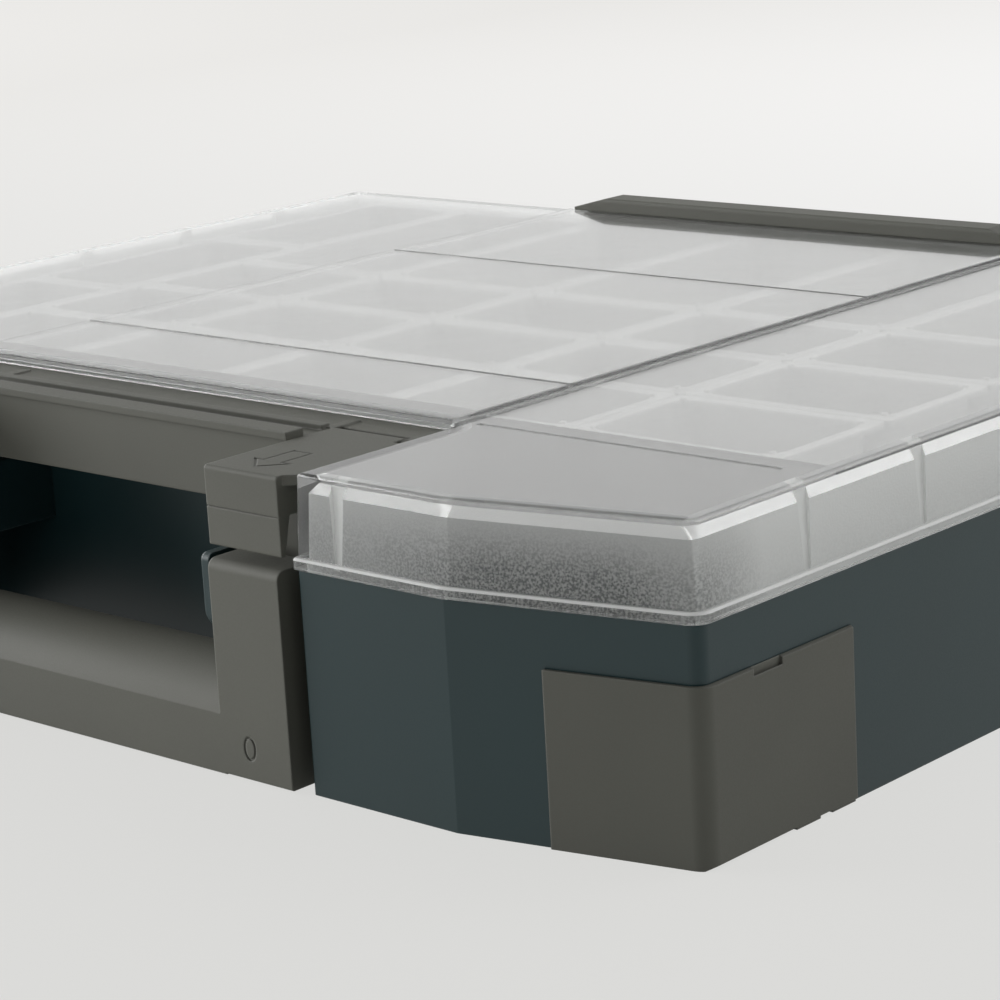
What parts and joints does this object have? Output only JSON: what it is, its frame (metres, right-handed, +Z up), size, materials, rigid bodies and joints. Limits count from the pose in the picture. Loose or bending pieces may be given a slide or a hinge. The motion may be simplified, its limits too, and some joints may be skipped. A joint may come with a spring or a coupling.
{
  "type": "assortment case",
  "caption": "Flat compartment case with a hinged clear lid, removable insert cups, snap latches, corner guards and a fold-down carrying handle in a front niche.",
  "frame": {"origin": "on the floor under the middle of the case's bounding box", "axes": "+X to the right seen from the handle side, +Y to the hinge side, +Z up"},
  "size_m": [0.413, 0.3388, 0.0851],
  "materials": {
    "tray_teal": "fine-textured dark teal polypropylene",
    "lid_clear": "clear polycarbonate, glossy outside, frosted inside",
    "fittings_grey": "warm mid-grey moulded plastic, satin",
    "insert_white": "milky translucent polypropylene",
    "pin_steel": "drawn steel pin"
  },
  "bodies": {
    "base": {"base_tray": "tray_teal", "latch_catch_right": "tray_teal", "latch_catch_left": "tray_teal", "corner_guard_front_right": "fittings_grey", "corner_guard_front_left": "fittings_grey", "corner_guard_rear_right": "fittings_grey", "corner_guard_rear_left": "fittings_grey", "handle_pin_right": "pin_steel", "handle_pin_left": "pin_steel", "hinge_pin_right": "pin_steel", "hinge_pin_left": "pin_steel", "insert_row1_column1": "insert_white", "insert_row2_column1": "insert_white", "insert_row3_column1": "insert_white", "insert_rear_column1": "insert_white", "insert_row1_column2": "insert_white", "insert_row2_column2": "insert_white", "insert_row3_column2": "insert_white", "insert_rear_column2": "insert_white", "insert_row1_column3": "insert_white", "insert_row2_column3": "insert_white", "insert_row3_column3": "insert_white", "insert_rear_column3": "insert_white", "insert_row1_column4": "insert_white", "insert_row2_column4": "insert_white", "insert_row3_column4": "insert_white", "insert_rear_column4": "insert_white", "insert_row1_column5": "insert_white", "insert_row2_column5": "insert_white", "insert_row3_column5": "insert_white", "insert_rear_column5": "insert_white", "insert_narrow_1": "insert_white", "insert_narrow_2": "insert_white", "insert_narrow_3": "insert_white"},
    "lid": {"lid_shell": "lid_clear", "front_bar": "fittings_grey", "rear_rail": "fittings_grey", "latch_pin_right": "pin_steel", "latch_pin_left": "pin_steel"},
    "latch_right": {"latch_right": "fittings_grey"},
    "latch_left": {"latch_left": "fittings_grey"},
    "handle": {"carry_handle": "fittings_grey"}
  },
  "joints": [
    {"name": "lid_hinge", "type": "hinge", "parent": "base", "child": "lid", "pos_m": [0, 0.16605, 0.058], "axis": [-1, 0, 0], "range_deg": [0, 105]},
    {"name": "latch_right_hinge", "type": "hinge", "parent": "lid", "child": "latch_right", "pos_m": [0.079, -0.12415, 0.0745], "axis": [-1, 0, 0], "range_deg": [0, 65]},
    {"name": "latch_left_hinge", "type": "hinge", "parent": "lid", "child": "latch_left", "pos_m": [-0.079, -0.12415, 0.0745], "axis": [-1, 0, 0], "range_deg": [0, 65]},
    {"name": "handle_swing", "type": "hinge", "parent": "base", "child": "handle", "pos_m": [0, -0.15995, 0.0456], "axis": [-1, 0, 0], "range_deg": [0, 90]}
  ]
}
